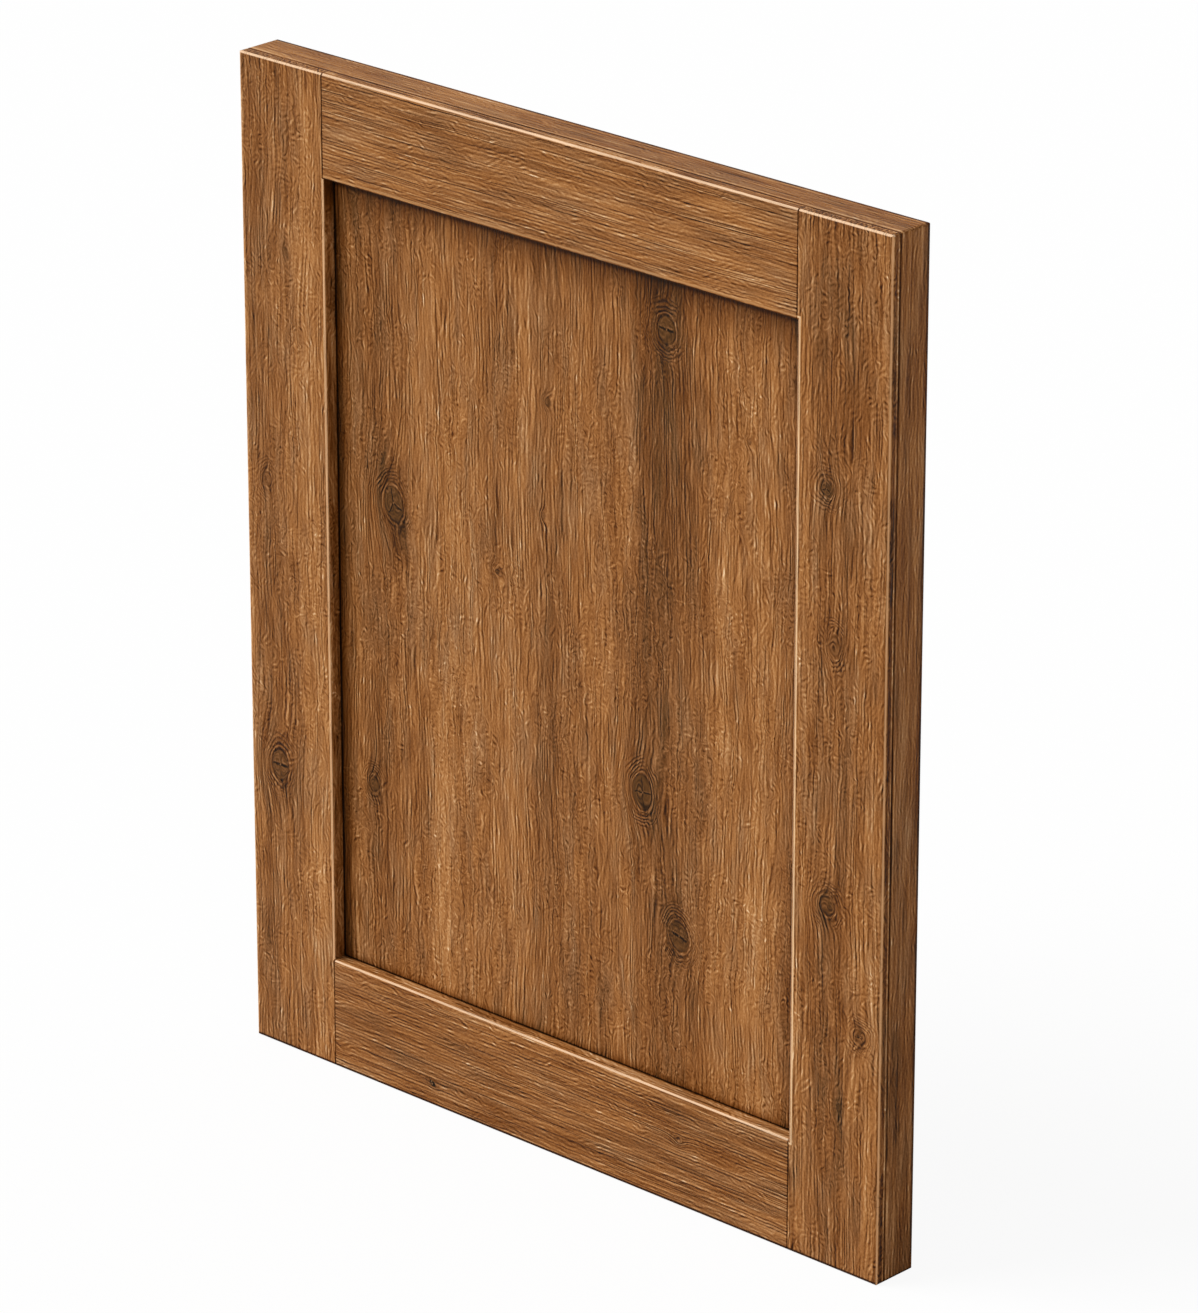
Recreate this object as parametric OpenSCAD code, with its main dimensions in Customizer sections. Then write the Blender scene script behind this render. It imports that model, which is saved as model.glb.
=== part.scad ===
// Cabinet end panel, the framed board that closes the open side of a cabinet run.
// Two stiles run the full height and two rails butt between them on dowelled stub tenons.
// A flat centre panel floats in grooves, held off the groove floors by rubber spacers.
// Thin mitred lippings are let into all four outer edges behind the face, and a small
// quirk shows where each one meets the frame.
// Millimetres, +Z up, front face towards -Y, origin at the middle of the bottom edge.

/* [Panel] */
// Width over the finished side edges
panel_w = 610; // [450:1:900]
// Height over the finished top and bottom edges
panel_h = 762; // [600:1:1100]
// Thickness from the front face to the back face
panel_t = 38; // [34:0.5:45]

/* [Frame] */
// Face width of each stile
stile_w = 82.5; // [60:0.5:110]
// Face width of the top rail
top_rail_w = 77.5; // [60:0.5:110]
// Face width of the bottom rail
bottom_rail_w = 85.5; // [60:0.5:110]

/* [Centre panel] */
// Thickness of the centre panel
centre_t = 15; // [12:0.5:18]
// Depth from the front face of the frame to the centre panel
recess_d = 11.5; // [8:0.5:14]
// Bevel on the hidden edges of the centre panel
centre_bevel = 1; // [0.5:0.25:2]

/* [Grooves and tenons] */
// Depth of the groove in the inner edge of each stile and rail
groove_d = 12; // [10:0.5:16]
// Gap on each face of the centre panel in its groove
groove_play = 0.15; // [0.05:0.05:0.3]
// Gap from the edge of the centre panel to the groove floor
panel_float = 5; // [3:0.5:7]
// Glue gap on each face of a tenon and past its end
glue_gap = 0.1; // [0.05:0.05:0.25]

/* [Edges] */
// Depth of the face lip in front of the lippings
lip_t = 8; // [5:0.5:10]
// Thickness of each edge lipping
lipping_t = 3; // [2:0.5:5]
// Round on the outer arris of the face
face_r = 2.5; // [1:0.25:2.75]
// Round on the two arrises that make the quirk
quirk_r = 1.25; // [0.5:0.25:1.5]
// Round on the outer arris of the back
back_r = 1.5; // [0.5:0.25:2]
// Round on the four outer corners of the panel
corner_r = 2.5; // [1:0.5:4]
// Round on the arris of the recess at the front
recess_r = 2.25; // [0.5:0.25:3]
// Round on the arris of the recess at the back
recess_back_r = 1; // [0.5:0.25:2]
// Bevel on each side of the face joints between rails and stiles
joint_v = 0.4; // [0.2:0.1:1]

/* [Dowels] */
// Diameter of each dowel
dowel_d = 8; // [6:0.5:10]
// Length of each dowel, half of it on each side of the joint
dowel_l = 60; // [50:1:80]
// Distance from an edge of a tenon to the nearer dowel
dowel_inset = 15; // [10:0.5:18]
// Gap between a dowel and its hole
dowel_play = 0.1; // [0.05:0.05:0.25]
// Space left past each end of a dowel for glue
dowel_end = 1; // [0.5:0.25:2]
// Bevel on the ends of a dowel
dowel_bevel = 1; // [0.5:0.25:1.5]
// Number of glue flutes along a dowel
flute_count = 12; // [6:1:16]
// Radius of each glue flute
flute_r = 0.4; // [0.2:0.1:0.6]

/* [Spacers] */
// How far a spacer is squeezed between the panel and the groove floor
spacer_squeeze = 1.5; // [0.5:0.25:2]
// Gap from each end of a spacer to the wall of the groove
spacer_play = 0.5; // [0.25:0.25:1.5]
// Round on the ends of a spacer
spacer_r = 1; // [0.5:0.25:1.25]
// Distance from a corner of the opening to the nearer spacer
spacer_inset = 110; // [60:5:140]

/* [Hidden] */
$fn = 48;
// Overshoot of a cut past the face it starts from
cut = 1;

half_w = panel_w / 2;
half_t = panel_t / 2;
front_y = -half_t;
// Half the width of the opening, and the levels of its lower and upper edges
open_x = half_w - stile_w;
open_z0 = bottom_rail_w;
open_z1 = panel_h - top_rail_w;

// Middle plane of the grooves, tenons, dowels and centre panel
mid_y = front_y + recess_d + centre_t / 2;
groove_w = centre_t + 2 * groove_play;
tenon_t = groove_w - 2 * glue_gap;
tenon_l = groove_d - glue_gap;
// How far the centre panel reaches past the opening on each side
panel_hold = groove_d - panel_float;

// Levels of the two ends of each rail's tenon, between the lipping and the panel groove
bottom_tenon = [lipping_t, open_z0 - groove_d];
top_tenon = [open_z1 + groove_d, panel_h - lipping_t];
// Heights of the outer and inner dowel of the bottom joints, then of the top joints
dowel_z = [
    bottom_tenon[0] + dowel_inset,
    bottom_tenon[1] - dowel_inset,
    top_tenon[1] - dowel_inset,
    top_tenon[0] + dowel_inset
];

// Middle of the spacers in the groove floors, measured across each groove
spacer_x = open_x + groove_d - panel_float / 2;
spacer_z0 = open_z0 - groove_d + panel_float / 2;
spacer_z1 = open_z1 + groove_d - panel_float / 2;

stain = "#8a5c34";
panel_stain = "#84572f";
edge_stain = "#7c522e";
birch = "#d3b07a";
rubber = "#3a3a3c";

DOWELS = [
    "bottom_left_outer_dowel", "bottom_left_inner_dowel",
    "top_left_outer_dowel", "top_left_inner_dowel",
    "bottom_right_outer_dowel", "bottom_right_inner_dowel",
    "top_right_outer_dowel", "top_right_inner_dowel"
];
SIDE_SPACERS = ["left_lower_spacer", "left_upper_spacer", "right_lower_spacer", "right_upper_spacer"];
RAIL_SPACERS = ["bottom_left_spacer", "top_left_spacer", "bottom_right_spacer", "top_right_spacer"];

// What rounding takes off a square corner at the origin of the first quadrant
module round_cut(r) {
    difference() {
        translate([-cut, -cut]) square(r + cut);
        translate([r, r]) circle(r);
    }
}

// What a bevel of leg v takes off the same corner
module bevel_cut(v) {
    polygon([[-cut, -cut], [v + cut, -cut], [-cut, v + cut]]);
}

// Copies a cut at one corner of a section to the corner at the far end of its span
module both_ends(span) {
    children();
    translate([span, 0]) mirror([1, 0]) children();
}

// Stands an outline drawn in X and Y upright, thicker than the panel
module slab() {
    rotate([90, 0, 0]) linear_extrude(panel_t + 2 * cut, center = true) children();
}

// Runs a section drawn in X and Y upwards, past both ends of a height
module run_up(height) {
    translate([0, 0, -cut]) linear_extrude(height + 2 * cut) children();
}

// Runs a section drawn in X and Y both ways across a width, its X becoming Z
module run_across(width) {
    rotate([0, -90, 0]) linear_extrude(width + 2 * cut, center = true) children();
}

// Front outline of the panel with its rounded corners
module outline() {
    difference() {
        translate([-half_w, 0]) square([panel_w, panel_h]);
        translate([-half_w, 0]) both_ends(panel_w) round_cut(corner_r);
        translate([-half_w, panel_h]) mirror([0, 1]) both_ends(panel_w) round_cut(corner_r);
    }
}

// Section of the frame over its whole span: the full-width lip, and the core set in for lippings
module frame_section(span) {
    difference() {
        union() {
            square([span, lip_t]);
            translate([lipping_t, 0]) square([span - 2 * lipping_t, panel_t]);
        }
        both_ends(span) round_cut(face_r);
        translate([0, lip_t]) both_ends(span) mirror([0, 1]) round_cut(quirk_r);
    }
}

// Section over the two opposite lippings, with the core left in
module lipping_section(span) {
    difference() {
        translate([0, lip_t]) square([span, panel_t - lip_t]);
        translate([0, lip_t]) both_ends(span) round_cut(quirk_r);
        translate([0, panel_t]) both_ends(span) mirror([0, 1]) round_cut(back_r);
    }
}

// The frame before it is parted into stiles and rails, with all outer arrises rounded
module frame_blank() {
    intersection() {
        run_up(panel_h) translate([-half_w, front_y]) frame_section(panel_w);
        run_across(panel_w) translate([0, front_y]) frame_section(panel_h);
        slab() outline();
    }
}

// One of the four lippings, cut from its blank by the mitred outline given as children
module lipping() {
    intersection() {
        run_up(panel_h) translate([-half_w, front_y]) lipping_section(panel_w);
        run_across(panel_w) translate([0, front_y]) lipping_section(panel_h);
        slab() outline();
        slab() children();
    }
}

// Mitred outline of a lipping that lies along the X axis from -half to +half
module mitred_strip(half) {
    polygon([
        [-half - cut, -cut],
        [half + cut, -cut],
        [half - lipping_t, lipping_t],
        [lipping_t - half, lipping_t]
    ]);
}

// Dowel holes of the right-hand joints, running both ways from the joint
module dowel_holes() {
    for (z = dowel_z)
        translate([open_x, mid_y, z])
            rotate([0, 90, 0])
                cylinder(d = dowel_d + 2 * dowel_play, h = dowel_l + 2 * dowel_end, center = true);
}

// Round on the recess arris of the right stile, mitred into both rails' rounds
module stile_recess_round(r) {
    intersection() {
        run_up(panel_h) translate([open_x, front_y]) round_cut(r);
        slab() polygon([
            [open_x - cut, open_z0 + cut],
            [open_x + r + cut, open_z0 - r - cut],
            [open_x + r + cut, open_z1 + r + cut],
            [open_x - cut, open_z1 - cut]
        ]);
    }
}

// Right stile: full height, grooved on its inner edge, bored for four dowels
module stile() {
    difference() {
        frame_blank();
        translate([-half_w - cut, front_y - cut, -cut])
            cube([half_w + open_x + cut, panel_t + 2 * cut, panel_h + 2 * cut]);
        translate([open_x - cut, mid_y - groove_w / 2, -cut])
            cube([groove_d + cut, groove_w, panel_h + 2 * cut]);
        stile_recess_round(recess_r);
        mirror([0, 1, 0]) stile_recess_round(recess_back_r);
        run_up(panel_h) translate([open_x, front_y]) bevel_cut(joint_v);
        dowel_holes();
    }
}

// Round along the upper arris of a rail that lies below the opening
module rail_recess_round(level, r) {
    translate([0, 0, level]) mirror([0, 0, 1]) run_across(panel_w) translate([0, front_y]) round_cut(r);
}

// A rail in the place of the bottom rail, with shoulders at the stiles and stub tenons past
// them. The tenon runs from the core's edge up to the floor of the rail's own groove.
module rail(face_w, tenon) {
    difference() {
        union() {
            intersection() {
                frame_blank();
                translate([-open_x, front_y - cut, -cut])
                    cube([2 * open_x, panel_t + 2 * cut, face_w + cut]);
            }
            translate([-open_x - tenon_l, mid_y - tenon_t / 2, tenon[0]])
                cube([2 * (open_x + tenon_l), tenon_t, tenon[1] - tenon[0]]);
        }
        translate([-half_w, mid_y - groove_w / 2, face_w - groove_d])
            cube([panel_w, groove_w, groove_d + cut]);
        rail_recess_round(face_w, recess_r);
        mirror([0, 1, 0]) rail_recess_round(face_w, recess_back_r);
        for (side = [0, 1])
            mirror([side, 0, 0])
                run_up(face_w) translate([open_x, front_y]) mirror([1, 0]) bevel_cut(joint_v);
    }
}

// A rail in its final place with its dowel holes bored at both ends
module bored() {
    difference() {
        children();
        dowel_holes();
        mirror([1, 0, 0]) dowel_holes();
    }
}

module left_stile() color(stain) mirror([1, 0, 0]) stile();
module right_stile() color(stain) stile();
module bottom_rail() color(stain) bored() rail(bottom_rail_w, bottom_tenon);

// The top rail is the same form turned upside down
module top_rail()
    color(stain)
        bored()
            translate([0, 0, panel_h])
                mirror([0, 0, 1])
                    rail(top_rail_w, [panel_h - top_tenon[1], panel_h - top_tenon[0]]);

// Section of the centre panel over its span, with a bevel on each hidden arris
module centre_section(span) {
    difference() {
        square([span, centre_t]);
        both_ends(span) bevel_cut(centre_bevel);
        translate([0, centre_t]) both_ends(span) mirror([0, 1]) bevel_cut(centre_bevel);
    }
}

module centre_panel() {
    w = 2 * (open_x + panel_hold);
    h = open_z1 - open_z0 + 2 * panel_hold;
    color(panel_stain)
    translate([0, mid_y - centre_t / 2, open_z0 - panel_hold])
        intersection() {
            run_up(h) translate([-w / 2, 0]) centre_section(w);
            run_across(w) centre_section(h);
        }
}

module bottom_lipping() color(edge_stain) lipping() mitred_strip(half_w);
module top_lipping()
    color(edge_stain) lipping() translate([0, panel_h]) mirror([0, 1]) mitred_strip(half_w);
module left_lipping()
    color(edge_stain)
        lipping() translate([-half_w, panel_h / 2]) rotate(-90) mitred_strip(panel_h / 2);
module right_lipping() mirror([1, 0, 0]) left_lipping();

// Fluted dowel along Z, centred on the origin
module dowel() {
    r = dowel_d / 2;
    h = dowel_l / 2;
    color(birch)
    difference() {
        rotate_extrude() polygon([
            [0, -h], [r - dowel_bevel, -h], [r, dowel_bevel - h],
            [r, h - dowel_bevel], [r - dowel_bevel, h], [0, h]
        ]);
        for (i = [0 : flute_count - 1])
            rotate([0, 0, i * 360 / flute_count])
                translate([r, 0, 0])
                    cylinder(r = flute_r, h = dowel_l + 2 * cut, center = true);
    }
}

// Rubber barrel along Y, centred on the origin and pressed flat on its -X and +X sides
module spacer() {
    r = (panel_float + spacer_squeeze) / 2;
    h = groove_w / 2 - spacer_play;
    color(rubber)
    intersection() {
        rotate([90, 0, 0])
            rotate_extrude()
                difference() {
                    translate([0, -h]) square([r, 2 * h]);
                    translate([r, h]) mirror([1, 0]) mirror([0, 1]) round_cut(spacer_r);
                    translate([r, -h]) mirror([1, 0]) round_cut(spacer_r);
                }
        cube([panel_float, 2 * h + cut, 2 * r + cut], center = true);
    }
}

left_stile();
right_stile();
top_rail();
bottom_rail();
centre_panel();
top_lipping();
bottom_lipping();
left_lipping();
right_lipping();
for (i = [0 : 7])
    translate([i < 4 ? -open_x : open_x, mid_y, dowel_z[i % 4]]) rotate([0, 90, 0]) dowel();
for (i = [0 : 3])
    translate([
            i < 2 ? -spacer_x : spacer_x,
            mid_y,
            i % 2 == 0 ? open_z0 + spacer_inset : open_z1 - spacer_inset
        ]) spacer();
for (i = [0 : 3])
    translate([
            i < 2 ? spacer_inset - open_x : open_x - spacer_inset,
            mid_y,
            i % 2 == 0 ? spacer_z0 : spacer_z1
        ]) rotate([0, 90, 0]) spacer();
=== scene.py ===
"""Cabinet end panel in brown-stained knotty oak: the finish of every piece, the room and the camera.

The pieces come first, in the order in which the joiner puts them together. The room comes last.
"""

import math
from collections import namedtuple

import bpy
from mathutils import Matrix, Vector


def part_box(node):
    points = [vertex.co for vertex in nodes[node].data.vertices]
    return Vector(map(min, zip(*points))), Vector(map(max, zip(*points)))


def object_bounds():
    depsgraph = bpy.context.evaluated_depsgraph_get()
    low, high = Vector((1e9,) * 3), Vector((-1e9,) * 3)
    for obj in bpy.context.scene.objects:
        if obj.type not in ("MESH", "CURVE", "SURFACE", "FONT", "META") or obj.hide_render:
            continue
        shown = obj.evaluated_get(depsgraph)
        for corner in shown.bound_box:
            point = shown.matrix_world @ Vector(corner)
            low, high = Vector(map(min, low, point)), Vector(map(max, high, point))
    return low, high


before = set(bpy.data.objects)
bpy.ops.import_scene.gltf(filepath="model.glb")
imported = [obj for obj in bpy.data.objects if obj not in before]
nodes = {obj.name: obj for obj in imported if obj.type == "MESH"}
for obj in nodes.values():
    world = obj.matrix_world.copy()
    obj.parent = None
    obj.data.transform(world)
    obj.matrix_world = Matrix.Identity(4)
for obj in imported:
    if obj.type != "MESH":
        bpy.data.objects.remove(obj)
cad_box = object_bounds()


# Centre panel
# One wide knotty oak board, grain running up, planed and brushed, stained brown and lacquered satin.
# It floats in the grooves of the frame. Shade is painted on it where it meets the recess walls.

MM = 0.001
TURN = 2.0 * math.pi

HALF_WIDE = cad_box[1].x / MM
TOP = cad_box[1].z / MM
MID_HIGH = TOP / 2
BACK = cad_box[1].y / MM
FACE = cad_box[0].y / MM
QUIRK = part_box("top_lipping")[0].y / MM
PANEL_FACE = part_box("centre_panel")[0].y / MM
OPENING_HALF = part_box("right_stile")[0].x / MM
OPENING_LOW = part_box("bottom_rail")[1].z / MM
OPENING_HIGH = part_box("top_rail")[0].z / MM

# A knot: its heart and half sizes in millimetres, its lean in degrees, how dark its shadow and its core
# are, how strong its rim is, how high it bulges the grain, its drying cracks (how many, how far turned),
# and how strongly the grain closes round it in arcs.
Knot = namedtuple("Knot", "across along half_width half_height lean dark core rim bulge rays turned arcs")

# A band of darker wood along the grain, or of lighter wood where dark is below nought. Where it has a
# low or high end, it fades out there.
Band = namedtuple("Band", "across half_width dark low high", defaults=(None, None))

# A board: the way its grain runs, its own run of noise, how light its stain is, its knots and bands, and
# how strong its fine lines, its streaks and the curl of its grain are.
Board = namedtuple(
    "Board",
    "name grain seed tone knots bands relief streak line_gap line_length curl",
    defaults=((), (), 1.0, 1.0, 3.8, 30.0, 1.0),
)


class Value:
    """A number that varies over a piece. It is added, multiplied and compared like a plain number."""

    def __init__(self, finish, socket):
        self.finish = finish
        self.socket = socket

    def worked(self, operation, *others):
        return self.finish.math(operation, self, *others)

    def __add__(self, other):
        return self.worked("ADD", other)

    def __radd__(self, other):
        return self.worked("ADD", other)

    def __sub__(self, other):
        return self.worked("SUBTRACT", other)

    def __rsub__(self, other):
        return self.finish.math("SUBTRACT", other, self)

    def __mul__(self, other):
        return self.worked("MULTIPLY", other)

    def __rmul__(self, other):
        return self.worked("MULTIPLY", other)

    def __truediv__(self, other):
        return self.worked("DIVIDE", other)

    def scaled(self, by, plus):
        """This value times by, plus plus, in one node."""
        return self.worked("MULTIPLY_ADD", by, plus)

    def size(self):
        return self.worked("ABSOLUTE")

    def root(self):
        return self.worked("SQRT")

    def sine(self):
        return self.worked("SINE")

    def least(self, other):
        return self.worked("MINIMUM", other)

    def most(self, other):
        return self.worked("MAXIMUM", other)

    def rises(self, start, end):
        """0 up to start, 1 from end on, and a smooth S between them. It falls where end is below start."""
        node = self.finish.node("ShaderNodeMapRange", interpolation_type="SMOOTHSTEP")
        low, high = min(start, end), max(start, end)
        results = (0.0, 1.0) if start < end else (1.0, 0.0)
        for name, setting in zip(("From Min", "From Max", "To Min", "To Max"), (low, high) + results):
            node.inputs[name].default_value = setting
        self.finish.wire(self, node.inputs["Value"])
        return Value(self.finish, node.outputs["Result"])

    def near(self, place, full, none):
        """1 within full of a place, falling to 0 at a distance of none from it."""
        return (self - place).size().rises(none, full)

    def fades(self, reach):
        """1 at nought, falling as a bell curve whose width is reach, from a squared distance."""
        return self.finish.math("EXPONENT", self * (-1.0 / (reach * reach)))


NOISE_SPREAD = 2.6
SEED_STEP = (7.31, 3.17, 5.73)

# Sockets that share a name with others, by their places: the angle of flat ripples, the two colours of a
# colour mix, and the two groups of a mix of groups.
RIPPLE_ANGLE = 4
MIXED_COLOURS = (6, 7)
MIXED_GROUPS = (4, 5)


class Finish:
    """A finish under construction: a material and the short calls that add nodes to it."""

    def __init__(self, name):
        self.material = bpy.data.materials.new(name)
        self.material.use_nodes = True
        self.tree = self.material.node_tree
        self.tree.nodes.clear()

    def node(self, kind, **settings):
        made = self.tree.nodes.new(kind)
        for name, setting in settings.items():
            setattr(made, name, setting)
        return made

    def wire(self, source, socket):
        if isinstance(source, Value):
            self.tree.links.new(source.socket, socket)
        elif isinstance(source, bpy.types.NodeSocket):
            self.tree.links.new(source, socket)
        else:
            socket.default_value = source

    def math(self, operation, *parts):
        made = self.node("ShaderNodeMath", operation=operation)
        for part, socket in zip(parts, made.inputs):
            self.wire(part, socket)
        return Value(self, made.outputs[0])

    def place(self):
        """Where a point of the surface is, in millimetres, as three values in the row frame."""
        found = self.node("ShaderNodeTexCoord")
        scaled = self.node("ShaderNodeVectorMath", operation="SCALE")
        scaled.inputs["Scale"].default_value = 1.0 / MM
        self.wire(found.outputs["Object"], scaled.inputs[0])
        return self.parted(scaled.outputs[0])

    def facing(self):
        """The surface's own direction as three values in the row frame, before any bump."""
        return self.parted(self.node("ShaderNodeNewGeometry").outputs["Normal"])

    def point(self, across, deep, along):
        joined = self.node("ShaderNodeCombineXYZ")
        for part, socket in zip((across, deep, along), joined.inputs):
            self.wire(part, socket)
        return joined.outputs[0]

    def cloud(self, point, lump, seed, detail=0.0, roughness=0.5):
        """Noise from about -1 to 1, whose lumps are lump = (across, deep, along) millimetres in size."""
        placed = self.node("ShaderNodeVectorMath", operation="MULTIPLY_ADD")
        self.wire(point, placed.inputs[0])
        placed.inputs[1].default_value = [1.0 / size for size in lump]
        placed.inputs[2].default_value = [seed * step for step in SEED_STEP]
        noise = self.node("ShaderNodeTexNoise", noise_dimensions="3D")
        noise.inputs["Scale"].default_value = 1.0
        noise.inputs["Detail"].default_value = detail
        noise.inputs["Roughness"].default_value = roughness
        self.wire(placed.outputs[0], noise.inputs["Vector"])
        return Value(self, noise.outputs["Fac"]).scaled(NOISE_SPREAD, -NOISE_SPREAD / 2)

    def ripples(self, across, along, gap, lump, turned):
        """Short parallel ripples from about -1 to 1, gap millimetres apart, turned by a varying angle."""
        ripple = self.node("ShaderNodeTexGabor", gabor_type="2D")
        ripple.inputs["Scale"].default_value = 1.0 / lump
        ripple.inputs["Frequency"].default_value = lump / gap
        ripple.inputs["Anisotropy"].default_value = 1.0
        self.wire(turned, ripple.inputs[RIPPLE_ANGLE])
        self.wire(self.point(across, along, 0.0), ripple.inputs["Vector"])
        return Value(self, ripple.outputs["Value"]).scaled(2.0, -1.0)

    def colours(self, value, stops):
        """Colours from a list of (place, (red, green, blue)), written as in a picture, 0 to 255."""
        ramp = self.node("ShaderNodeValToRGB")
        elements = ramp.color_ramp.elements
        while len(elements) < len(stops):
            elements.new(1.0)
        for element, (place, colour) in zip(elements, stops):
            element.position = place
            element.color = paint(*colour)
        self.wire(value, ramp.inputs[0])
        return ramp.outputs[0]

    def mixed(self, share, first, second):
        """The first of two colours where share is 0, and the second where it is 1."""
        made = self.node("ShaderNodeMix", data_type="RGBA")
        self.wire(share, made.inputs["Factor"])
        for colour, place in zip((first, second), MIXED_COLOURS):
            self.wire(colour, made.inputs[place])
        return made.outputs[2]

    def chosen(self, share, first, second):
        """The first of two groups of three values where share is 0, and the second where it is 1."""
        made = self.node("ShaderNodeMix", data_type="VECTOR")
        self.wire(share, made.inputs["Factor"])
        for group, place in zip((first, second), MIXED_GROUPS):
            self.wire(group, made.inputs[place])
        return made.outputs[1]

    def parted(self, point):
        split = self.node("ShaderNodeSeparateXYZ")
        self.wire(point, split.inputs[0])
        return [Value(self, output) for output in split.outputs]

    def surface(self, colour, roughness, height, specular):
        """The shader itself: height is in millimetres, and what is the same all over is set on it."""
        shader = self.node("ShaderNodeBsdfPrincipled")
        self.wire(colour, shader.inputs["Base Color"])
        self.wire(roughness, shader.inputs["Roughness"])
        shader.inputs["Specular IOR Level"].default_value = specular
        bump = self.node("ShaderNodeBump")
        bump.inputs["Distance"].default_value = MM
        self.wire(height, bump.inputs["Height"])
        self.wire(bump.outputs["Normal"], shader.inputs["Normal"])
        output = self.node("ShaderNodeOutputMaterial")
        self.wire(shader.outputs[0], output.inputs["Surface"])
        return self.material


def paint(red, green, blue):
    """A picture's colour, 0 to 255, as the light it stands for, by the usual curve of pictures."""
    def light(level):
        share = level / 255.0
        return share / 12.92 if share <= 0.04045 else ((share + 0.055) / 1.055) ** 2.4
    return (light(red), light(green), light(blue), 1.0)


# The stain from its darkest pools to the barest wood, then the same where the wood is greyer.
STAIN = [
    (0.00, (24, 8, 0)),
    (0.18, (61, 27, 2)),
    (0.34, (100, 54, 12)),
    (0.50, (134, 83, 38)),
    (0.66, (167, 113, 62)),
    (0.82, (197, 148, 98)),
    (1.00, (238, 204, 162)),
]
GREY_STAIN = [
    (0.00, (16, 10, 1)),
    (0.18, (49, 31, 9)),
    (0.34, (86, 56, 23)),
    (0.50, (124, 84, 50)),
    (0.66, (156, 115, 77)),
    (0.82, (187, 149, 110)),
    (1.00, (224, 196, 162)),
]

# Arrises: a painted highlight at the front, brighter where they face up, painted shade underneath, and
# painted shade at the back.
HIGHLIGHT_EDGE = (216, 162, 112)
UPWARD_HIGHLIGHT_EDGE = (227, 190, 153)
UNDERSIDE_SHADE_EDGE = (58, 27, 6)
BACK_SHADE_EDGE = (72, 33, 16)

# The lacquer, then lengths in millimetres: the fade at a band's end, and the gaps between the fine
# ripples, in patches of their own size, and between the arcs round a knot.
LACQUER_SHINE = 0.08
LACQUER_ROUGHNESS = 0.5
BAND_FADE = 70.0
RIPPLE_GAP = 3.3
RIPPLE_PATCH = 5.5
ARC_GAP = 2.5

# How far a knot pushes the grain, in its own half sizes, how light its core is, and what stands for the
# nearest knot before one is found.
KNOT_REACH = 2.3
KNOT_CORE = 0.32
NO_KNOT = 99.0
FAR_SPOT = (9.0, 9.0, 9.0)
NO_MARKS = (0.0, 0.0, 0.0)


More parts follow.
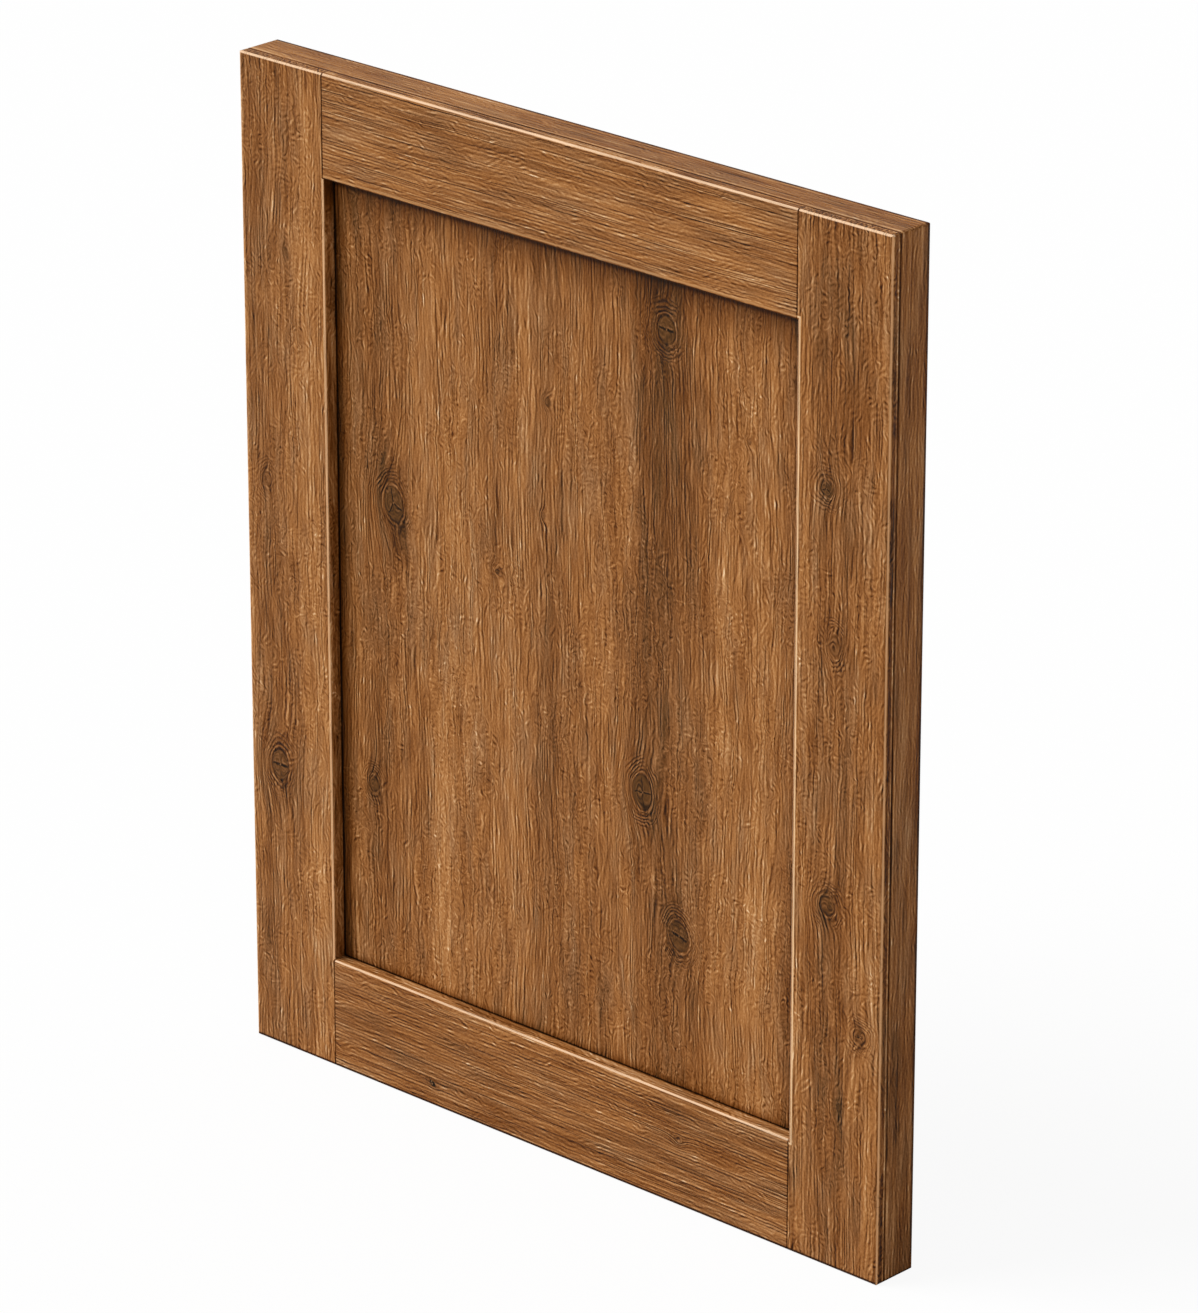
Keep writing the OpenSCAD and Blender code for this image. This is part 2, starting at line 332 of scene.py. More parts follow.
class Oak(Finish):
    """Stained, brushed oak for one board. Its knots and bands are where the board says."""

    def __init__(self, board):
        super().__init__(board.name)
        self.board = board
        self.arris_highlight = HIGHLIGHT_EDGE
        self.x, self.y, self.z = self.place()
        self.nx, self.ny, self.nz = self.facing()
        upright = board.grain == "Z"
        self.across = self.x if upright else self.z
        self.along = self.z if upright else self.x
        self.plain = self.point(self.across, self.y, self.along)
        self.curls = self.cloud(self.plain, (4.6, 4.6, 7.0), board.seed + 2, 1.0)
        self.drift = self.cloud(self.plain, (14, 14, 20), board.seed + 13)
        self.bend_grain()
        self.draw_grain()
        self.level_colour()
        if board.knots:
            self.mark_knots()

    def bend_grain(self):
        """Works out how far across the board a point lies once its grain is pulled straight.

        Slow noise sways the grain and quick noise curls it in patches. Round a knot the distance across is
        pushed aside as water is by a post, and raised in a bell-shaped bulge, so that the lines part above
        the knot, hug it, and close in arcs over and under it.
        """
        board = self.board
        self.swirl = self.cloud(self.plain, (34, 34, 52), board.seed + 11).rises(-0.5, 0.4) * board.curl
        sway = self.cloud(self.plain, (60, 50, 170), board.seed + 1) * (5.0 * board.curl)
        quick = self.cloud(self.plain, (9, 9, 24), board.seed + 10)
        bend = quick * (self.swirl * 1.4 + 0.35 * board.curl)
        self.swayed = self.across + sway
        if board.knots:
            self.right = self.curls.scaled(0.85, self.y.scaled(0.12, self.across))
            self.up = self.curls.scaled(-0.7, self.along)
            self.nearest = NO_KNOT
            self.spot, self.marks, self.cuts = FAR_SPOT, NO_MARKS, NO_MARKS
            for knot in board.knots:
                self.bend_round(knot)
            self.measure_knot()
        self.broad = self.point(self.swayed, self.y, self.along)
        self.straight = self.curls.scaled(self.swirl * 1.1 + 0.4 * board.curl, self.swayed + bend)
        self.laid = self.point(self.straight, self.y, self.along)

    def bend_round(self, knot):
        """Bends the grain round one knot, and keeps that knot's place and marks where it is the nearest.

        u and w are the distances from the knot's heart across and along it, in its own half sizes.
        """
        lean = math.radians(knot.lean)
        across, along = math.cos(lean), math.sin(lean)
        heart_u = -(knot.across * across + knot.along * along) / knot.half_width
        heart_w = (knot.across * along - knot.along * across) / knot.half_height
        u = self.up.scaled(along / knot.half_width, heart_u)
        u = self.right.scaled(across / knot.half_width, u)
        w = self.right.scaled(-along / knot.half_height, heart_w)
        w = self.up.scaled(across / knot.half_height, w)
        squared = w.scaled(w, u * u)
        push = squared.fades(KNOT_REACH) * (knot.bulge - u / (squared + 0.3))
        self.swayed = push.scaled(knot.half_width, self.swayed)
        closer = self.math("LESS_THAN", squared, self.nearest)
        self.nearest = squared.least(self.nearest)
        size = (knot.half_width + knot.half_height) / 2
        self.spot = self.chosen(closer, self.spot, self.point(u, w, size))
        self.marks = self.chosen(closer, self.marks, (knot.dark, knot.core, knot.rim))
        self.cuts = self.chosen(closer, self.cuts, (knot.rays, knot.turned, knot.arcs))

    def measure_knot(self):
        """What the nearest knot does at a point: its shadow, core, rim and arcs, and its drying cracks.

        outside is the distance from its rim in millimetres. The cracks run out from the heart, as many as
        it has rays, each with a painted highlight along one side, and a painted glint lies at the heart.
        """
        u, w, size = self.parted(self.spot)
        dark, core, rim = self.parted(self.marks)
        rays, turned, arcs = self.parted(self.cuts)
        radius = self.nearest.root()
        self.outside = (radius - 1.0) * size + self.drift * 0.9
        self.halo = (u * u * 1.2 + w * w * 0.18).fades(1.4) * dark
        self.cores = self.outside.rises(0.8, -0.8) * core
        self.rims = self.outside.near(0.1, 0.25, 1.2) * rim * (self.drift * 0.4 + 0.75)
        self.second = self.outside.near(3.4, 0.3, 1.3) * rim
        self.arched = (w * w / (self.nearest + 0.05)).rises(-0.3, 0.6) * self.outside.rises(15.0, 8.0) * arcs
        angle = self.math("ARCTAN2", w, u).scaled(rays * 0.5, self.curls.scaled(0.2, turned))
        off = angle.sine() * radius
        cracked = radius.rises(0.95, 0.75) * rays.rises(0.0, 1.0)
        self.crack = off.near(0.0, 0.04, 0.12) * cracked
        self.beside = off.near(0.16, 0.02, 0.09) * cracked
        self.heart_glint = radius.rises(0.11, 0.04) * cracked

    def draw_grain(self):
        """Grain lines are level lines of the straightened distance, each broken up along its length.

        A sine of the distance gives grooves with ridges between them, a finer sine gives weaker ones, and
        round a knot a sine of the distance from its rim gives arcs. Short ripples cross them all.
        """
        board, laid = self.board, self.laid
        gap, length = board.line_gap, board.line_length
        wander = self.cloud(laid, (8, 8, 60), board.seed + 3, 1.0) * (0.8 * board.curl)
        ring = ((self.straight / gap + wander) * TURN).sine()
        strength = self.cloud(laid, (gap, gap, length), board.seed + 4, 1.0, 0.6).rises(-0.4, 0.7)
        finer = ((self.straight / (gap * 0.62) + wander) * TURN).sine()
        weaker = self.cloud(laid, (gap, gap, length * 2), board.seed + 14).rises(0.0, 0.7) * 0.9
        groove = (ring.rises(-0.45, -1.0) * strength).most(finer.rises(-0.3, -1.0) * weaker)
        ridge = (ring.rises(-0.3, 0.3) * strength).most(finer.rises(-0.2, 0.5) * weaker)
        lines = self.cloud(laid, (1.5, 1.5, length), board.seed + 12, 1.0)
        turned = self.cloud(self.plain, (8, 8, 12), board.seed + 6) * (self.swirl * 3.6 + 0.45 * board.curl)
        worms = self.ripples(self.straight + self.y, self.along * 0.8, RIPPLE_GAP, RIPPLE_PATCH, turned) * 1.6
        if board.knots:
            arc = (self.outside * (TURN / ARC_GAP) + worms * 0.8 + self.drift * 6.0 + self.curls * 2.5).sine()
            arched = self.arched * self.outside.rises(0.5, 2.0) * (lines + self.drift).rises(-0.8, 0.4)
            groove = groove * (1.0 - arched) + arc.rises(-0.1, -1.0) * arched * 1.1
            ridge = ridge * (1.0 - arched) + arc.rises(-0.1, 0.8) * arched * 0.85
            lines = lines * (1.0 - arched * 0.8)
        calm = 1.0 - self.swirl * 0.45
        self.groove, self.ridge, self.lines, self.worms = groove * calm, ridge * calm, lines, worms
        self.pores = worms.rises(-0.3, -0.9) * lines.rises(0.3, -0.5)
        self.flecks = worms.rises(0.35, 0.9) * lines.rises(-0.3, 0.5)
        self.height = ridge * 0.2 - groove * 0.35 + lines * 0.16

    def level_colour(self):
        """How light the stain is, from 0 to 1, and how grey the wood is.

        Broad streaks and patches carry the fine lines, and the bands darken both. Dark bands are greyer.
        """
        board, laid, broad = self.board, self.laid, self.broad
        strands = self.cloud(broad, (5.0, 5.0, 48.0), board.seed + 5, 1.0, 0.6)
        streaks = self.cloud(broad, (17, 17, 260), board.seed + 7, 2.0, 0.6)
        patches = self.cloud(self.plain, (70, 60, 210), board.seed + 8, 1.0)
        tooth = self.cloud(laid, (0.9, 0.9, 1.6), board.seed + 15)
        fine = self.ridge * 0.17 - self.groove * 0.25 + self.lines * 0.16 + self.worms * 0.13
        fine = fine - self.pores * 0.12 + self.flecks * 0.1 + tooth * 0.06
        level = (streaks * 0.085 + strands * 0.07) * board.streak + patches * 0.05
        level = level + fine * board.relief + board.tone
        shade = 0.0
        for band in board.bands:
            off = (self.across - band.across) / band.half_width
            share = (off * off).fades(1.0) * band.dark
            if band.low is not None:
                share = share * self.along.rises(band.low - BAND_FADE, band.low + BAND_FADE)
            if band.high is not None:
                share = share * self.along.rises(band.high + BAND_FADE, band.high - BAND_FADE)
            shade = share + shade
        self.level = level - shade
        self.strands = strands
        greyer = self.cloud(laid, (14, 14, 70), board.seed + 9, 2.0, 0.6).rises(-0.35, 0.8)
        self.grey = greyer * 0.75 + shade * 2.0

    def mark_knots(self):
        """Darkens the wood over and under each knot, fills its core and draws its rim, lip and cracks, with
        the painted highlight by each crack and the painted glint at the heart.
        """
        cores = self.cores
        lip = self.outside.near(1.9, 0.2, 1.1) * self.rims.most(self.arched).rises(0.0, 0.5)
        heart = KNOT_CORE + self.worms * 0.13 + self.lines * 0.1 + self.drift * 0.05
        smudge = self.halo * (0.17 - self.strands * 0.1 - self.lines * 0.1)
        level = self.level - smudge
        level = level - cores * (level - heart) - self.rims * 0.19 + lip * 0.1 - self.second * 0.1
        self.height = self.height * (1.0 - cores * 0.5) - self.rims * 0.25 + lip * 0.15
        self.grey = (self.grey + self.halo * 0.35) * (1.0 - cores) + cores * 0.8
        self.level = level - self.crack * 0.28 + self.beside * 0.07 + self.heart_glint * 0.5

    def paint_recess_shade(self, shade, line):
        """Painted shade from the recess walls: shade takes a share of the lightness, line blackens."""
        self.level = self.level * (1.0 - shade) - line * 0.35

    def mark_arrises(self):
        """Finds the rounded arrises, which carry a painted highlight at the front and painted shade at the
        back.

        A rounded surface faces no axis squarely. A faint painted shade line runs where the front one begins.
        """
        rounded = 1.0 - self.nx.size().most(self.ny.size()).most(self.nz.size())
        at_front = self.y.rises(FACE + 3.2, FACE + 2.4)
        at_back = self.y.rises(BACK - 2.5, BACK - 1.6)
        beginning = rounded.near(0.016, 0.008, 0.015) * self.ny.rises(-0.8, -0.95)
        self.arris = rounded.rises(0.04, 0.16) * at_front
        self.level = self.level - beginning * 0.07
        self.back_arris = rounded.rises(0.004, 0.04) * at_back

    def finished(self):
        """The material: the front arrises carry a painted highlight, brighter where they face up, and painted
        shade underneath; the back arrises carry painted shade.
        """
        colour = self.mixed(self.grey, self.colours(self.level, STAIN), self.colours(self.level, GREY_STAIN))
        # Painted highlight on the front arrises, brighter facing up, painted shade where they face down
        facing_up = self.nz.most(-1.0 * self.nx).rises(0.1, 0.4)
        painted_edge_light = self.mixed(facing_up, paint(*self.arris_highlight), paint(*UPWARD_HIGHLIGHT_EDGE))
        painted_edge_light = self.mixed(self.nz.rises(-0.15, -0.4), painted_edge_light, paint(*UNDERSIDE_SHADE_EDGE))
        share = self.arris * (0.95 - self.pores * 0.4 + self.lines * 0.1)
        colour = self.mixed(share, colour, painted_edge_light)
        colour = self.mixed(self.back_arris * 0.8, colour, paint(*BACK_SHADE_EDGE))
        dull = self.back_arris.most(self.nz.rises(-0.1, -0.4))
        roughness = LACQUER_ROUGHNESS + self.pores * 0.2 - self.arris * 0.15 + dull * 0.4
        return self.surface(colour, roughness, self.height, specular=LACQUER_SHINE)


def dress(node, material):
    """Puts one finish on every material slot of a CAD piece."""
    mesh = nodes[node].data
    for index in range(len(mesh.materials)):
        mesh.materials[index] = material


panel_board = Board(
    "panel oak", "Z", 0.3, 0.52,
    knots=(
        Knot(-168, 453, 9.2, 12.6, 10, 1.15, 0.95, 1.0, 0.9, 3, 0.7, 1.2),
        Knot(94, 645, 7.8, 10.5, 6, 0.4, 0.85, 1.0, 0.8, 2, 0.1, 1.0),
        Knot(73, 300, 9.0, 12.8, 4, 0.65, 0.85, 1.0, 0.9, 4, 0.0, 1.0),
        Knot(108, 201, 8.4, 11.0, 12, 0.7, 0.75, 1.0, -0.9, 2, 0.4, 1.1),
        Knot(-191, 231, 4.2, 5.6, 0, 0.6, 0.3, 1.0, 1.6, 0, 0, 0.5),
        Knot(-66, 428, 2.2, 2.0, 0, 0.5, 0.6, 0.4, 3.0, 0, 0, 0),
        Knot(-17, 566, 2.5, 3.0, 0, 0.5, 0.6, 0.4, 2.5, 0, 0, 0),
        Knot(-21, 481, 1.6, 2.0, 0, 0.3, 0.6, 0.4, 3.0, 0, 0, 0),
        Knot(170, 583, 1.8, 2.4, 0, 0.4, 0.6, 0.4, 2.5, 0, 0, 0),
    ),
    bands=(
        Band(88, 32, 0.10),
        Band(57, 9, -0.04),
        Band(-26, 8, 0.04),
        Band(92, 20, 0.05, 430, 640),
        Band(-180, 24, 0.06, 350, None),
        Band(-185, 18, 0.06, 120, 330),
        Band(-7, 13, 0.05, 250, 460),
        Band(-50, 50, -0.03),
        Band(-16, 15, 0.05),
        Band(-120, 14, -0.03),
        Band(145, 9, -0.05),
        Band(176, 28, -0.06),
        Band(214, 9, 0.06),
        Band(-200, 9, 0.04, 370, None),
        Band(-122, 10, -0.10, None, 280),
        Band(-104, 9, -0.04, 430, None),
        Band(-65, 13, 0.075, 400, None),
        Band(4, 11, 0.05, None, 150),
        Band(27, 13, -0.11, 340, 430),
        Band(57, 10, -0.09, 490, 550),
        Band(129, 10, 0.08, 230, 370),
        Band(151, 13, -0.12, 420, 480),
        Band(210, 12, 0.05, None, 270),
        Band(73, 20, -0.06, None, 220),
        # Painted shadow under the top rail, towards its right end
        Band(190, 30, 0.05, 650, None),
    ),
)
panel_oak = Oak(panel_board)
panel_oak.mark_arrises()
from_left = panel_oak.x + OPENING_HALF
from_top = OPENING_HIGH - panel_oak.z
from_right = OPENING_HALF - panel_oak.x
from_low = panel_oak.z - OPENING_LOW

# Painted shade from the recess walls: the left side, which the wall shades, is darkest, and the top and the
# bottom are darker too.
# Close to the top and right walls is a darker painted edge, and a black painted shade line runs where the
# board enters the frame.
recess_shade = from_left.rises(16.0, -6.0) * 0.65
recess_shade = recess_shade.most(from_top.rises(11.0, 2.0) * 0.13 + from_top.rises(40.0, 0.0) * 0.3)
recess_shade = recess_shade.most(from_low.rises(8.0, -3.0) * 0.4)
recess_shade = recess_shade + from_top.rises(8.4, 5.0).most(from_right.rises(12.5, 8.5)) * 0.3
corner = from_left.least(from_top).least(from_right).least(from_low).rises(1.4, 0.6)
panel_oak.paint_recess_shade(recess_shade, corner)
dress("centre_panel", panel_oak.finished())


# Spacers
# Eight soft rubber balls pressed as small blocks into the groove floors. They keep the centre panel
# centred in the frame while it swells and shrinks. Matt moulded rubber, none of it in sight.

def rubber():
    """Matt black rubber with a fine moulded skin."""
    made = Finish("spacer rubber")
    skin = made.cloud(made.point(*made.place()), (0.6, 0.6, 0.6), 2.0, 2.0)
    colour = made.colours(skin * 0.3 + 0.5, [(0.0, (44, 44, 46)), (1.0, (58, 58, 60))])
    return made.surface(colour, skin * 0.05 + 0.72, skin * 0.02, specular=0.4)


spacer_rubber = rubber()
for node in nodes:
    if node.endswith("_spacer"):
        dress(node, spacer_rubber)


# Rails
# Top and bottom rails of the same oak, grain running across, cut square with a stub tenon at each end
# that fills the groove of the stile. Both are brushed and stained before the frame is glued up.

# How far behind and in front of the quirk its two painted highlight lines run, and how far the painted
# shade on the outer edges comes forward from the back.
LINE_BEHIND = 2.4
LINE_BEFORE = 1.5
BACK_SHADE_REACH = 3.8


class FrameOak(Oak):
    """Oak of the frame, with its dark joints and the painted light and shade on its edges and recess walls.
    """

    def __init__(self, board, framing=True):
        super().__init__(board)
        self.mark_arrises()
        self.paint_edge_light_and_shade()
        if framing:
            self.mark_walls()

    def paint_edge_light_and_shade(self):
        """Painted shade in the quirk and along the back of the outer edges, with painted highlight lines by
        them.

        On the sides the lip before the quirk carries painted shade too, and so does the foot of the front and
        sides.
        """
        inside = (self.x.size() - HALF_WIDE).most((self.z - MID_HIGH).size() - MID_HIGH)
        outer = inside.rises(-4.5, -3.0) * self.ny.size().rises(0.9, 0.6)
        sides = outer * self.nx.size().rises(0.5, 0.9)
        tops = outer * self.nz.rises(0.5, 0.9)
        # Painted shade in the quirk, on the side lips and along the back; painted highlight lines beside the
        # quirk and on the top
        dark = self.y.near(QUIRK, 0.5, 1.2) * outer * 0.4
        behind = self.y.near(QUIRK + LINE_BEHIND, 0.4, 1.1)
        light = behind.most(self.y.near(QUIRK - LINE_BEFORE, 0.3, 0.8)) * outer
        lip = self.y.rises(QUIRK - 1.8, QUIRK - 2.6) * self.y.rises(FACE + 1.8, FACE + 2.8) * sides * 0.24
        back = self.y.rises(BACK - BACK_SHADE_REACH, BACK - 2.6) * (sides * 0.26 + tops * 0.24)
        top_highlight_lines = self.y.near(BACK - 4.6, 0.5, 1.2) + self.y.near(QUIRK + 2.6, 0.5, 1.2)
        light = light + top_highlight_lines * tops
        # Painted shade at the foot of the front and sides
        under = self.z.rises(3.2, 2.4) * self.y.rises(FACE + 4.0, FACE + 3.0)
        under = under.most(self.z.rises(2.8, 1.6) * sides)
        self.level = (self.level + light * 0.12 - dark - lip - back) * (1.0 - under * 0.7)

    def mark_walls(self):
        """Painted shade along the inside of the recess: black where the panel enters, a little darker on all
        the walls, and a thin darker line on the ledge where the wall begins.

        The upward ledge and the front of the left wall are painted paler, as if lit, and the top of that wall
        carries a painted shadow.
        joint is a strip of the stile beside each rail, and inner a strip of the face round the recess.
        """
        beside = self.x.size() - OPENING_HALF
        middle, half_high = (OPENING_LOW + OPENING_HIGH) / 2, (OPENING_HIGH - OPENING_LOW) / 2
        over = (self.z - middle).size() - half_high
        wall = beside.most(over).rises(2.6, 2.2) * self.ny.size().rises(0.5, 0.2)
        black = self.y.near(PANEL_FACE, 0.6, 1.3)
        thin = self.y.near(FACE + 4.2, 0.3, 0.9) * self.nz.rises(0.5, 0.9)
        ledge = self.nz.rises(0.5, 0.9) * 0.18
        start = self.y.rises(FACE + 4.4, FACE + 1.8) * self.nx.rises(0.5, 0.9) * 0.12
        self.level = self.level - (black * 0.4 + thin * 0.16 + 0.06 - ledge - start) * wall
        # Painted shadow at the top of the left wall
        wall_top_shadow = self.z.rises(OPENING_HIGH - 50.0, OPENING_HIGH - 5.0) * self.nx.rises(0.7, 0.95) * 0.55
        self.level = self.level * (1.0 - wall_top_shadow * wall)
        joint = over.rises(-0.3, 0.0) * (1.0 - wall)
        bevel = beside.near(0.0, 0.45, 0.9) * joint
        self.level = self.level - bevel * 0.27
        self.arris = self.arris * (1.0 - bevel)
        # Where the painted highlight lines go: on the stile beside each joint, and on the face round the
        # recess
        self.joint = joint * beside.near(1.3, 0.3, 0.8) * beside.rises(0.3, 0.6)
        self.inner = beside.most(over).near(2.7, 0.3, 1.2) * (1.0 - wall)


top_rail = Board(
    "top rail oak", "X", 3.1, 0.545,
    bands=(Band(743, 14, 0.05, None, -40), Band(742, 14, -0.03, 90, None)),
    relief=1.12, streak=1.1, line_gap=2.5, line_length=60.0, curl=0.25,
)
bottom_rail = Board(
    "bottom rail oak", "X", 6.7, 0.505,
    knots=(
        Knot(15.5, -122.5, 1.7, 2.6, 30, 0.4, 3.2, 0.5, 0.7, 0, 0, 0),
        Knot(49.5, 120, 3.0, 4.0, 0, 0.5, 0.3, 0.5, 1.0, 0, 0, 0),
    ),
    relief=1.12, streak=1.2, line_gap=2.5, line_length=60.0, curl=0.25,
)

# The top rail carries a painted highlight along the recess, and is darker along its upper edge, in a thin
# line most of all.
RAIL_HIGHLIGHT = 0.74

top_oak = FrameOak(top_rail)
top_oak.level = top_oak.level + (RAIL_HIGHLIGHT - top_oak.level) * top_oak.inner * 0.9
high = top_oak.z.rises(TOP - 14.0, TOP - 5.0) * top_oak.ny.rises(-0.5, -0.9)
top_oak.level = top_oak.level - high * 0.06 - top_oak.z.near(TOP - 2.9, 0.3, 0.9) * high * 0.06

# The bottom rail is a little paler along the recess.
bottom_oak = FrameOak(bottom_rail)
upper = bottom_oak.z.rises(OPENING_LOW - 16.0, OPENING_LOW - 6.0) * bottom_oak.ny.rises(-0.5, -0.9)
bottom_oak.level = bottom_oak.level + upper * 0.03
dress("top_rail", top_oak.finished())
dress("bottom_rail", bottom_oak.finished())


# Dowels
# Eight fluted birch dowels, two through each stub tenon, glued. Bare pale wood, none of it in sight.

def birch():
    """Bare birch, fine straight grain along the dowel."""
    made = Finish("dowel birch")
    grain = made.cloud(made.point(*made.place()), (14.0, 0.8, 0.8), 4.0, 2.0)
    colour = made.colours(grain * 0.4 + 0.5, [(0.0, (176, 140, 96)), (1.0, (224, 194, 150))])
    return made.surface(colour, grain * 0.05 + 0.6, grain * 0.02, specular=0.4)


dowel_birch = birch()
for node in nodes:
    if node.endswith("_dowel"):
        dress(node, dowel_birch)


# Stiles
# Two full-height uprights of the same oak, grain running up, each with knots of its own. The rails butt
# against them, and a fine dark line marks each joint, with a painted highlight on the stile's arris beside
# it.

left_stile = Board(
    "left stile oak", "Z", 9.4, 0.525,
    knots=(
        Knot(-277.5, 225.5, 9.0, 12.4, 0, 0.6, 0.65, 1.0, 1.0, 2, 0.0, 0.9),
        Knot(-286, 445.5, 3.8, 4.8, 0, 0.6, 0.0, 0.8, 1.0, 0, 0, 0.4),
        Knot(-262.5, 619.5, 2.5, 5.0, 10, 0.3, 0.5, 0.5, 1.0, 0, 0, 0),
        Knot(-242.5, 140.5, 2.5, 4.0, 0, 0.3, 0.4, 0.4, 0.7, 0, 0, 0),
    ),
    bands=(
        Band(-290, 14, 0.07),
        Band(-236, 12, -0.08),
        Band(-300, 8, -0.05, 90, 540),
        Band(-264, 9, 0.045, 450, 660),
        Band(-238, 14, 0.05, None, 100),
        # Painted shadow beside the joint at the top of the stile
        Band(-236, 7, 0.10, 730, None),
    ),
    streak=1.3, curl=0.85,
)
right_stile = Board(
    "right stile oak", "Z", 12.9, 0.52,
    knots=(
        Knot(248, 573, 5.2, 5.2, 0, 0.8, 0.6, 0.8, -1.0, 3, 0.9, 0.6),
        Knot(257.5, 462, 4.2, 7.0, 8, 0.4, 0.3, 0.6, 1.0, 0, 0, 0.8),
        Knot(253.5, 272, 6.8, 6.4, 0, 0.9, 0.25, 0.9, 1.0, 0, 0, 0.8),
        Knot(284.5, 183.5, 5.4, 4.6, 0, 0.7, 0.1, 0.8, -1.0, 3, 1.2, 0.6),
        Knot(266.5, 124.5, 2.2, 2.6, 0, 0.5, 0.6, 0.4, 0.7, 0, 0, 0),
    ),
    bands=(
        Band(250, 14, 0.06),
        Band(271, 9, 0.05),
        Band(295, 7, -0.05),
        Band(232, 8, -0.04),
        Band(293, 10, 0.06, 590, None),
        Band(229, 6, 0.06, None, 130),
        Band(236, 6, 0.08, 730, None),
    ),
    streak=1.5, curl=0.75,
)
left_oak = FrameOak(left_stile)
right_oak = FrameOak(right_stile)

# The left stile carries the brightest painted highlight on its arrises, most of all along its outer edge, and
# a painted highlight beside the joints.
LEFT_HIGHLIGHT_EDGE = (252, 200, 148)

left_oak.arris_highlight = LEFT_HIGHLIGHT_EDGE
painted_edge_light = left_oak.x.rises(4.8 - HALF_WIDE, 1.6 - HALF_WIDE) * 0.18
painted_edge_light = painted_edge_light + left_oak.x.rises(2.2 - HALF_WIDE, 1.2 - HALF_WIDE) * 0.08
left_oak.level = left_oak.level + left_oak.joint * 0.06 + painted_edge_light

# The right stile has painted highlights beside the joints and along the recess, and on its outer arris the
# painted highlight is a narrow line only.
STILE_HIGHLIGHT = 0.93

right_oak.level = right_oak.level + right_oak.joint * 0.1
right_oak.level = right_oak.level + (STILE_HIGHLIGHT - right_oak.level) * right_oak.inner
shaded_arris = right_oak.nx.rises(0.1, 0.3) * right_oak.ny.rises(-0.7, -0.88)
right_oak.arris = right_oak.arris * (1.0 - shaded_arris)
right_oak.arris = right_oak.arris * right_oak.nx.rises(-0.72, -0.56)

# Stain has stayed in the pores at the upper ends of both.
for oak in (left_oak, right_oak):
    hollows = (oak.lines + oak.ridge * 0.4).rises(0.1, -0.5)
    oak.level = oak.level - oak.z.rises(TOP - 27.0, TOP + 3.0) * hollows * 0.2
dress("left_stile", left_oak.finished())
dress("right_stile", right_oak.finished())


# Lippings
# Four oak strips let into the outer edges behind the face lip and mitred at the corners, so that no end
# grain shows. Each has its grain along its length, with soft darker streaks.

LIPPING_LINES = 2.6
LIPPING_LENGTH = 60.0

for name, grain, seed, tone, relief, curl in (
    ("top", "X", 15.2, 0.53, 0.8, 0.3),
    ("bottom", "X", 18.8, 0.5, 0.8, 0.3),
    ("left", "Z", 21.5, 0.415, 1.0, 0.15),
    ("right", "Z", 24.6, 0.41, 1.0, 0.15),
):
    strip = Board(
        name + " lipping oak", grain, seed, tone,
        relief=relief, line_gap=LIPPING_LINES, line_length=LIPPING_LENGTH, curl=curl,
    )
    dress(name + "_lipping", FrameOak(strip, framing=False).finished())


# Floor
# A plain pale studio floor that keeps the panel's soft shadow. It isn't part of the object.

FLOOR_HALF = 30.0
FLOOR_GREY = (0.88, 0.88, 0.88, 1.0)
SEEN_AS_WHITE = 0.92

floor_mesh = bpy.data.meshes.new("studio floor")
corners = [(-FLOOR_HALF, -FLOOR_HALF, 0), (FLOOR_HALF, -FLOOR_HALF, 0)]
corners += [(FLOOR_HALF, FLOOR_HALF, 0), (-FLOOR_HALF, FLOOR_HALF, 0)]
floor_mesh.from_pydata(corners, [], [(0, 1, 2, 3)])
floor = bpy.data.objects.new("studio_floor", floor_mesh)
bpy.context.scene.collection.objects.link(floor)


def floor_paint():
    """Off-white paint. The camera sees it partly as plain white, which softens the shadow on it."""
    coat = Finish("studio floor paint")
    base = coat.node("ShaderNodeBsdfDiffuse")
    base.inputs["Color"].default_value = FLOOR_GREY
    white = coat.node("ShaderNodeEmission")
    white.inputs["Strength"].default_value = 1.0
    blend = coat.node("ShaderNodeMixShader")
    share = Value(coat, coat.node("ShaderNodeLightPath").outputs["Is Camera Ray"]) * SEEN_AS_WHITE
    coat.wire(share, blend.inputs[0])
    coat.wire(base.outputs[0], blend.inputs[1])
    coat.wire(white.outputs[0], blend.inputs[2])
    coat.wire(blend.outputs[0], coat.node("ShaderNodeOutputMaterial").inputs["Surface"])
    return coat.material


floor_mesh.materials.append(floor_paint())


# Light
# White surroundings and one broad soft key from the upper left in front, so that the front and the top
# edge are lit, and the right side and the recess's left wall are in the fill.

SURROUND_LEVEL = 0.55
KEY_LEVEL = 2.9
KEY_FROM = Vector((-0.56, -0.50, 0.66))
KEY_SPREAD = math.radians(40)

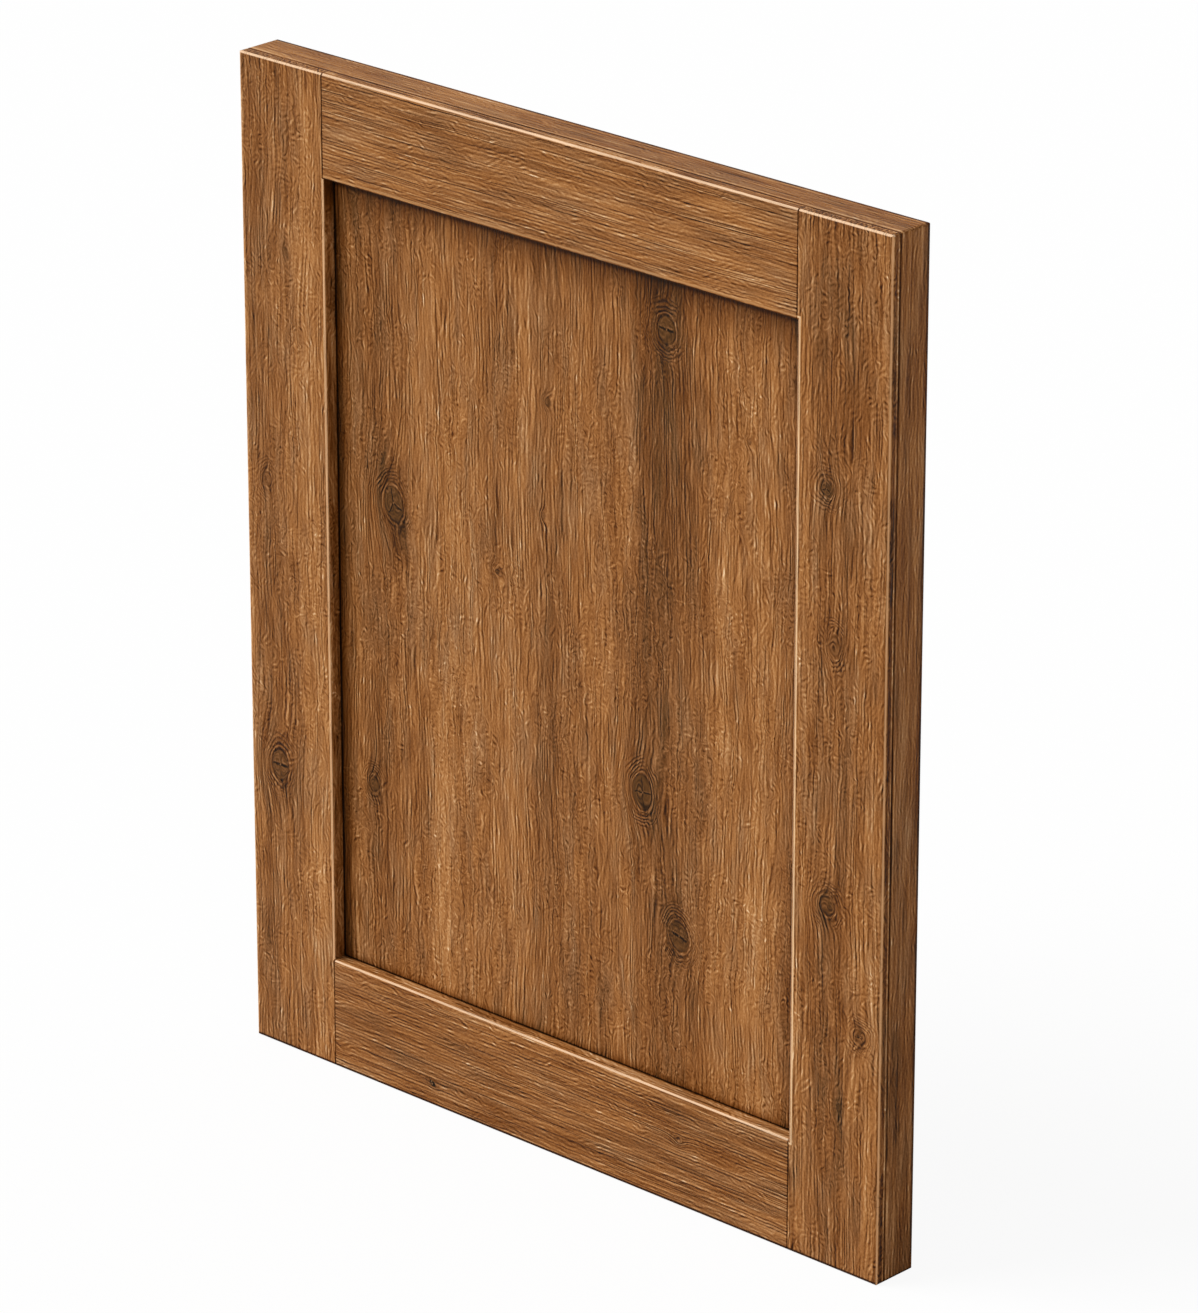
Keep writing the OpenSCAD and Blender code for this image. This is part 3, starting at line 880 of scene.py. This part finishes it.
world = bpy.data.worlds.new("white studio")
bpy.context.scene.world = world
world.use_nodes = True
surround = world.node_tree
surround.nodes.clear()
seen = surround.nodes.new("ShaderNodeLightPath")
either = surround.nodes.new("ShaderNodeMath")
either.operation = "MAXIMUM"
surround.links.new(seen.outputs["Is Camera Ray"], either.inputs[0])
surround.links.new(seen.outputs["Is Glossy Ray"], either.inputs[1])
any_seen = surround.nodes.new("ShaderNodeMath")
any_seen.operation = "MAXIMUM"
surround.links.new(either.outputs[0], any_seen.inputs[0])
surround.links.new(seen.outputs["Is Transmission Ray"], any_seen.inputs[1])
strength = surround.nodes.new("ShaderNodeMapRange")
strength.inputs["To Min"].default_value = SURROUND_LEVEL
strength.inputs["To Max"].default_value = 1.0
surround.links.new(any_seen.outputs[0], strength.inputs["Value"])
background = surround.nodes.new("ShaderNodeBackground")
surround.links.new(strength.outputs["Result"], background.inputs["Strength"])
world_output = surround.nodes.new("ShaderNodeOutputWorld")
surround.links.new(background.outputs[0], world_output.inputs["Surface"])

key_data = bpy.data.lights.new("key", "SUN")
key_data.energy = KEY_LEVEL
key_data.angle = KEY_SPREAD
key = bpy.data.objects.new("key", key_data)
key.rotation_mode = "QUATERNION"
key.rotation_quaternion = KEY_FROM.to_track_quat("Z", "Y")
bpy.context.scene.collection.objects.link(key)


# Camera
# A long lens from the right, a little above: 43 degrees round and 22 degrees up, as in the photograph.

AZIMUTH = math.radians(43.12)
ELEVATION = math.radians(21.65)
DISTANCE = 5.0916
LENS = 194.76
SENSOR = 36.0
AIM = Vector((-0.0672, 0.0989, 0.3325))

camera_data = bpy.data.cameras.new("camera")
camera_data.lens = LENS
camera_data.sensor_width = SENSOR
camera = bpy.data.objects.new("camera", camera_data)
back = Vector((
    math.sin(AZIMUTH) * math.cos(ELEVATION),
    -math.cos(AZIMUTH) * math.cos(ELEVATION),
    math.sin(ELEVATION),
))
camera.location = AIM + back * DISTANCE
camera.rotation_mode = "QUATERNION"
camera.rotation_quaternion = (-back).to_track_quat("-Z", "Y")
bpy.context.scene.collection.objects.link(camera)
bpy.context.scene.camera = camera
bpy.context.scene.view_settings.view_transform = "Standard"
